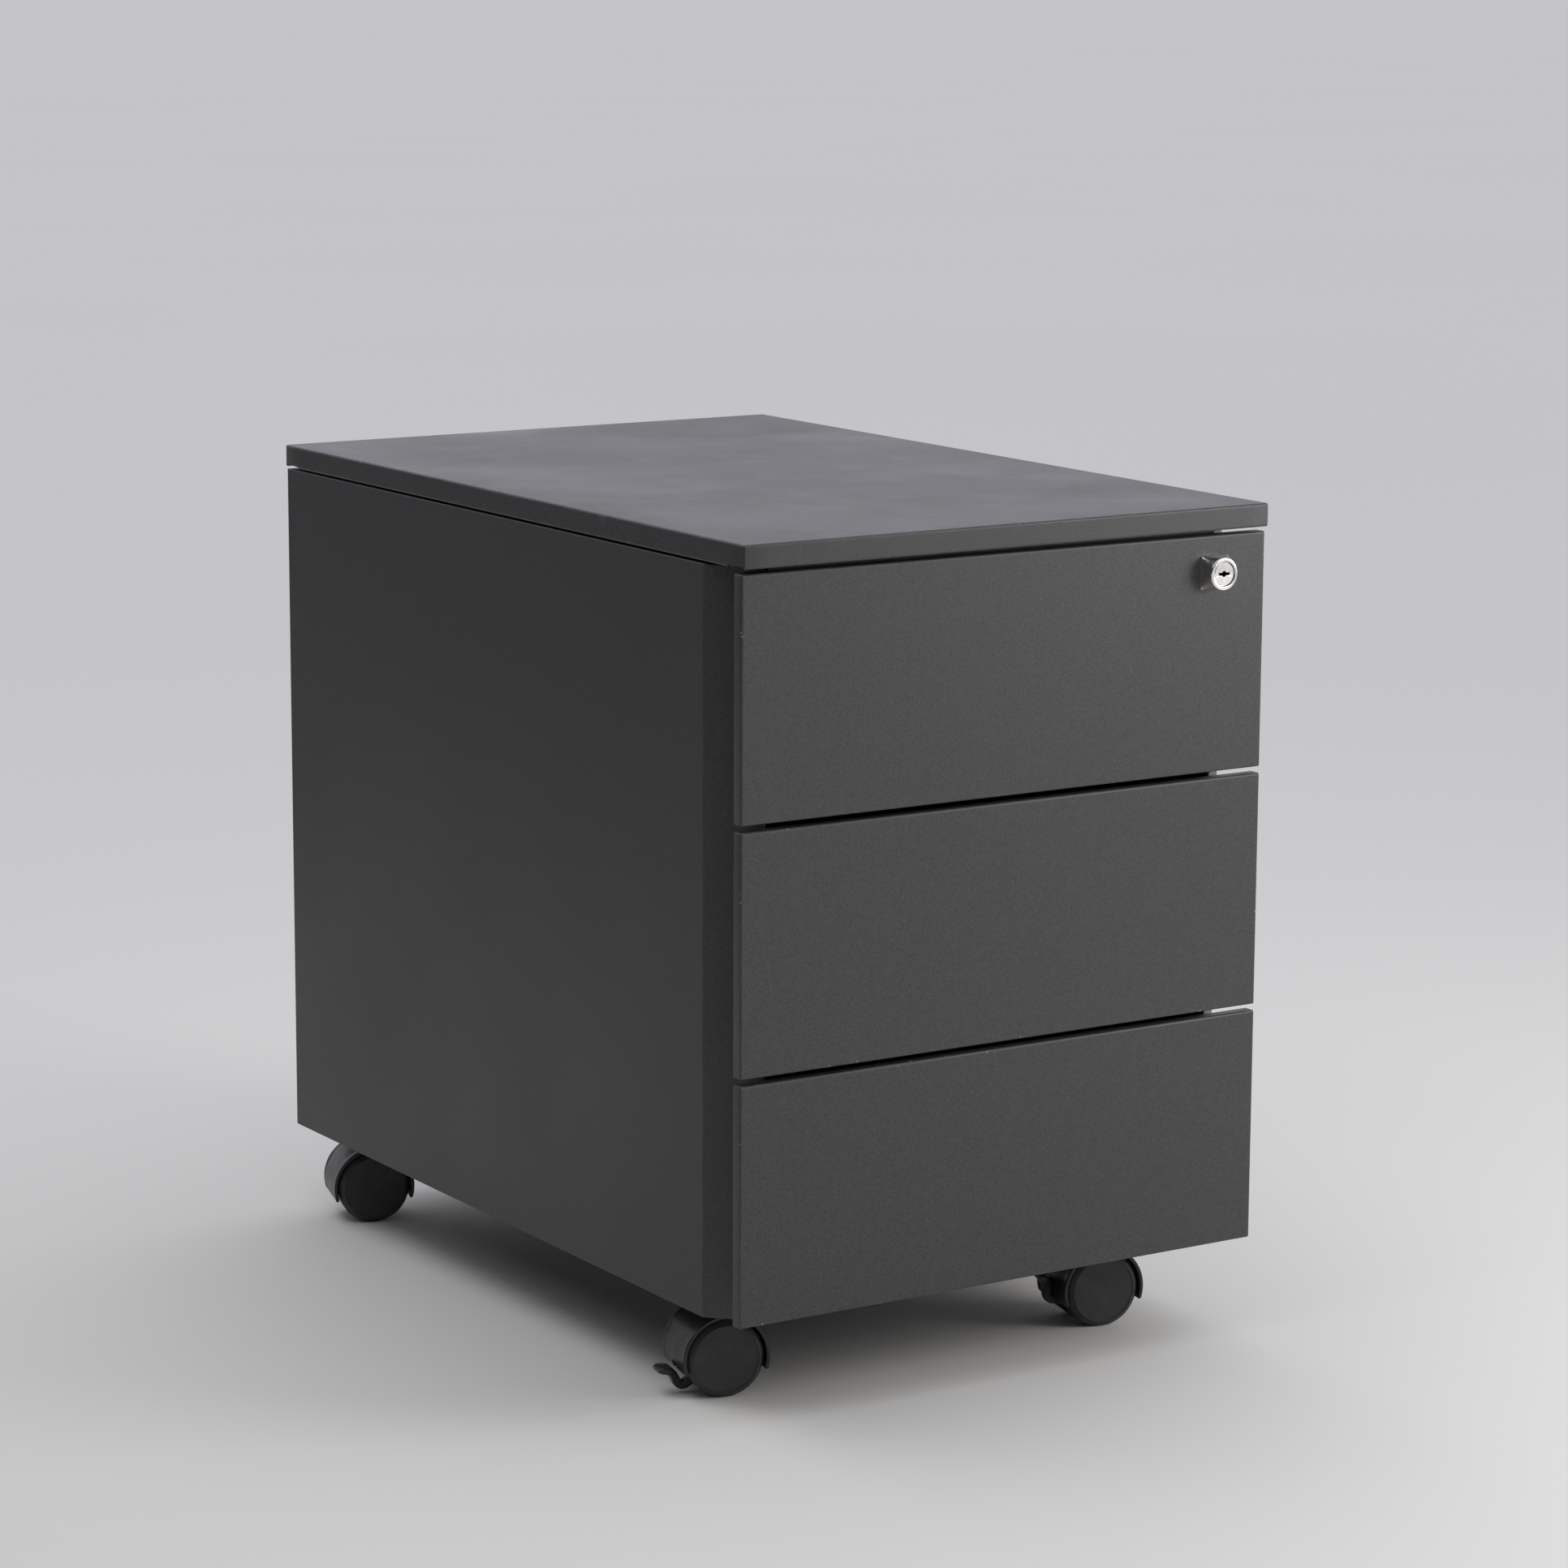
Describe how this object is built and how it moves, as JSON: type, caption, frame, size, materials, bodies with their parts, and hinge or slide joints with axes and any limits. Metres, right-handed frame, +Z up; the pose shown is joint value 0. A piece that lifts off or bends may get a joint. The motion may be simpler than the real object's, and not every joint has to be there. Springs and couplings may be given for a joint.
{
  "type": "rolling pedestal cabinet",
  "caption": "Under-desk steel pedestal with stacked drawers on ball-bearing slides, a cam lock with a lock bar, and swivelling twin-wheel castors with brake levers.",
  "frame": {"origin": "on the floor, under the middle of the top plate", "axes": "+X to the cabinet's right as seen from the drawers' side, +Y from the drawer fronts to the back, +Z up"},
  "size_m": [0.3987, 0.608, 0.545],
  "materials": {
    "anthracite_paint": "powder coat, fine grain",
    "box_paint": "satin powder coat",
    "zinc_steel": "bright zinc plate",
    "cage_steel": "plain strip steel",
    "lock_nickel": "polished nickel plate",
    "castor_plastic": "moulded nylon, satin",
    "wheel_plastic": "moulded nylon, matt",
    "bumper_rubber": "matt"
  },
  "bodies": {
    "cabinet": {"top_plate": "anthracite_paint", "left_side_panel": "anthracite_paint", "right_side_panel": "anthracite_paint", "back_panel": "anthracite_paint", "base_pan": "anthracite_paint", "front_cross_rail": "anthracite_paint", "rear_uprights": "zinc_steel", "slide_channels": "zinc_steel", "channel_screws": "zinc_steel", "slide_bumpers": "bumper_rubber", "top_screws": "zinc_steel", "castor_stems": "zinc_steel", "castor_nuts": "zinc_steel", "lock_bar_guides": "zinc_steel"},
    "lock_bar": {"lock_bar": "zinc_steel"},
    "drawer_1": {"drawer_front_1": "anthracite_paint", "drawer_box_1": "box_paint", "drawer_rails_1": "zinc_steel", "front_screws_1": "zinc_steel", "lock_strike_1": "zinc_steel", "lock_housing": "lock_nickel", "lock_nut": "zinc_steel"},
    "ball_cage_1": {"ball_cages_1": "cage_steel", "slide_balls_1": "zinc_steel"},
    "drawer_2": {"drawer_front_2": "anthracite_paint", "drawer_box_2": "box_paint", "drawer_rails_2": "zinc_steel", "front_screws_2": "zinc_steel", "lock_strike_2": "zinc_steel"},
    "ball_cage_2": {"ball_cages_2": "cage_steel", "slide_balls_2": "zinc_steel"},
    "drawer_3": {"drawer_front_3": "anthracite_paint", "drawer_box_3": "box_paint", "drawer_rails_3": "zinc_steel", "front_screws_3": "zinc_steel", "lock_strike_3": "zinc_steel"},
    "ball_cage_3": {"ball_cages_3": "cage_steel", "slide_balls_3": "zinc_steel"},
    "lock_cylinder": {"lock_cylinder": "lock_nickel", "lock_cam": "zinc_steel", "cam_screw": "zinc_steel"},
    "front_left_castor": {"front_left_hood": "castor_plastic", "front_left_axle": "zinc_steel"},
    "front_left_front_wheel": {"front_left_front_wheel": "wheel_plastic"},
    "front_left_rear_wheel": {"front_left_rear_wheel": "wheel_plastic"},
    "front_left_brake_lever": {"front_left_brake_lever": "castor_plastic"},
    "front_right_castor": {"front_right_hood": "castor_plastic", "front_right_axle": "zinc_steel"},
    "front_right_front_wheel": {"front_right_front_wheel": "wheel_plastic"},
    "front_right_rear_wheel": {"front_right_rear_wheel": "wheel_plastic"},
    "front_right_brake_lever": {"front_right_brake_lever": "castor_plastic"},
    "rear_left_castor": {"rear_left_hood": "castor_plastic", "rear_left_axle": "zinc_steel"},
    "rear_left_front_wheel": {"rear_left_front_wheel": "wheel_plastic"},
    "rear_left_rear_wheel": {"rear_left_rear_wheel": "wheel_plastic"},
    "rear_right_castor": {"rear_right_hood": "castor_plastic", "rear_right_axle": "zinc_steel"},
    "rear_right_front_wheel": {"rear_right_front_wheel": "wheel_plastic"},
    "rear_right_rear_wheel": {"rear_right_rear_wheel": "wheel_plastic"}
  },
  "joints": [
    {"name": "drawer_1_slide", "type": "slide", "parent": "cabinet", "child": "drawer_1", "axis": [0, -1, 0], "range_m": [0, 0.4]},
    {"name": "ball_cage_1_slide", "type": "slide", "parent": "cabinet", "child": "ball_cage_1", "axis": [0, -1, 0], "range_m": [0, 0.2]},
    {"name": "drawer_2_slide", "type": "slide", "parent": "cabinet", "child": "drawer_2", "axis": [0, -1, 0], "range_m": [0, 0.4]},
    {"name": "ball_cage_2_slide", "type": "slide", "parent": "cabinet", "child": "ball_cage_2", "axis": [0, -1, 0], "range_m": [0, 0.2]},
    {"name": "drawer_3_slide", "type": "slide", "parent": "cabinet", "child": "drawer_3", "axis": [0, -1, 0], "range_m": [0, 0.4]},
    {"name": "ball_cage_3_slide", "type": "slide", "parent": "cabinet", "child": "ball_cage_3", "axis": [0, -1, 0], "range_m": [0, 0.2]},
    {"name": "lock_turn", "type": "hinge", "parent": "drawer_1", "child": "lock_cylinder", "pos_m": [0.155, -0.297, 0.5035], "axis": [0, -1, 0], "range_deg": [0, 90]},
    {"name": "lock_bar_lift", "type": "slide", "parent": "cabinet", "child": "lock_bar", "axis": [0, 0, 1], "range_m": [0, 0.01]},
    {"name": "front_left_swivel", "type": "hinge", "parent": "cabinet", "child": "front_left_castor", "pos_m": [-0.144, -0.22, 0.045], "axis": [0, 0, 1], "continuous": true},
    {"name": "front_left_front_wheel_roll", "type": "hinge", "parent": "front_left_castor", "child": "front_left_front_wheel", "pos_m": [-0.16154, -0.21595, 0.025], "axis": [-0.225, -0.9744, 0], "continuous": true},
    {"name": "front_left_rear_wheel_roll", "type": "hinge", "parent": "front_left_castor", "child": "front_left_rear_wheel", "pos_m": [-0.16154, -0.21595, 0.025], "axis": [-0.225, -0.9744, 0], "continuous": true},
    {"name": "front_left_brake", "type": "hinge", "parent": "front_left_castor", "child": "front_left_brake_lever", "pos_m": [-0.16154, -0.21595, 0.025], "axis": [0.225, 0.9744, 0], "range_deg": [0, 25]},
    {"name": "front_right_swivel", "type": "hinge", "parent": "cabinet", "child": "front_right_castor", "pos_m": [0.144, -0.22, 0.045], "axis": [0, 0, 1], "continuous": true},
    {"name": "front_right_front_wheel_roll", "type": "hinge", "parent": "front_right_castor", "child": "front_right_front_wheel", "pos_m": [0.12627, -0.21687, 0.025], "axis": [-0.1736, -0.9848, 0], "continuous": true},
    {"name": "front_right_rear_wheel_roll", "type": "hinge", "parent": "front_right_castor", "child": "front_right_rear_wheel", "pos_m": [0.12627, -0.21687, 0.025], "axis": [-0.1736, -0.9848, 0], "continuous": true},
    {"name": "front_right_brake", "type": "hinge", "parent": "front_right_castor", "child": "front_right_brake_lever", "pos_m": [0.12627, -0.21687, 0.025], "axis": [0.1736, 0.9848, 0], "range_deg": [-25, 0]},
    {"name": "rear_left_swivel", "type": "hinge", "parent": "cabinet", "child": "rear_left_castor", "pos_m": [-0.144, 0.248, 0.045], "axis": [0, 0, 1], "continuous": true},
    {"name": "rear_left_front_wheel_roll", "type": "hinge", "parent": "rear_left_castor", "child": "rear_left_front_wheel", "pos_m": [-0.16121, 0.25326, 0.025], "axis": [-0.2924, -0.9563, 0], "continuous": true},
    {"name": "rear_left_rear_wheel_roll", "type": "hinge", "parent": "rear_left_castor", "child": "rear_left_rear_wheel", "pos_m": [-0.16121, 0.25326, 0.025], "axis": [-0.2924, -0.9563, 0], "continuous": true},
    {"name": "rear_right_swivel", "type": "hinge", "parent": "cabinet", "child": "rear_right_castor", "pos_m": [0.144, 0.248, 0.045], "axis": [0, 0, 1], "continuous": true},
    {"name": "rear_right_front_wheel_roll", "type": "hinge", "parent": "rear_right_castor", "child": "rear_right_front_wheel", "pos_m": [0.12654, 0.25235, 0.025], "axis": [-0.2419, -0.9703, 0], "continuous": true},
    {"name": "rear_right_rear_wheel_roll", "type": "hinge", "parent": "rear_right_castor", "child": "rear_right_rear_wheel", "pos_m": [0.12654, 0.25235, 0.025], "axis": [-0.2419, -0.9703, 0], "continuous": true}
  ],
  "couplings": [
    {"joint": "ball_cage_1_slide", "follows": "drawer_1_slide", "ratio": 0.5},
    {"joint": "ball_cage_2_slide", "follows": "drawer_2_slide", "ratio": 0.5},
    {"joint": "ball_cage_3_slide", "follows": "drawer_3_slide", "ratio": 0.5},
    {"joint": "lock_turn", "follows": "lock_bar_lift", "rad_per_m": 157.07}
  ]
}
